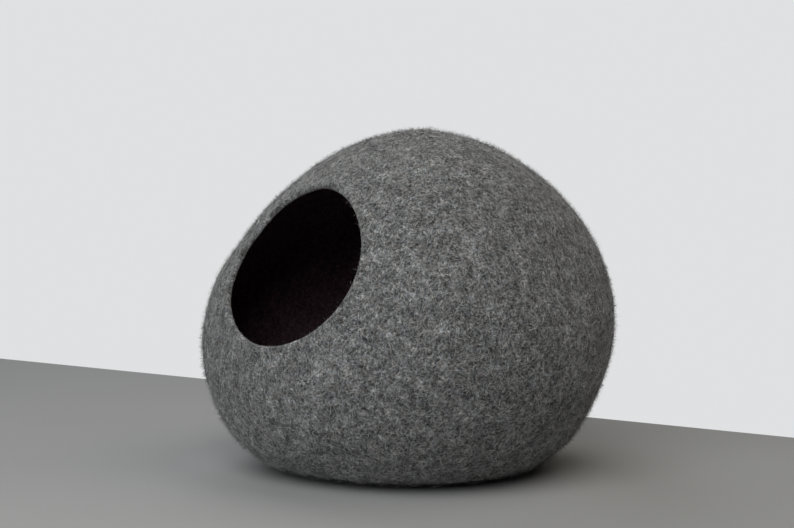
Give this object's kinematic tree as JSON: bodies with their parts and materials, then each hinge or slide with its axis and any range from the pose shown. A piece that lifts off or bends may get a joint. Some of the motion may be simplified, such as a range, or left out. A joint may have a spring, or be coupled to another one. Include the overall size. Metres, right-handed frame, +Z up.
{
  "type": "felt cat cave",
  "caption": "Seamless wet-felted wool cat cave, a rounded hollow shell with a round mouth that looks forwards and upwards, resting on a flat foot.",
  "frame": {"origin": "centre of the box around the cave, on its flat foot", "axes": "+Z up, the mouth faces -Y and looks upwards by 25 degrees, +X to the right seen from the mouth's side"},
  "size_m": [0.4704, 0.4592, 0.3865],
  "materials": {
    "felt": "matt heathered grey wool felt, fuzzy, with a dark inner face"
  },
  "bodies": {
    "root": {"felt_shell": "felt"}
  },
  "joints": []
}
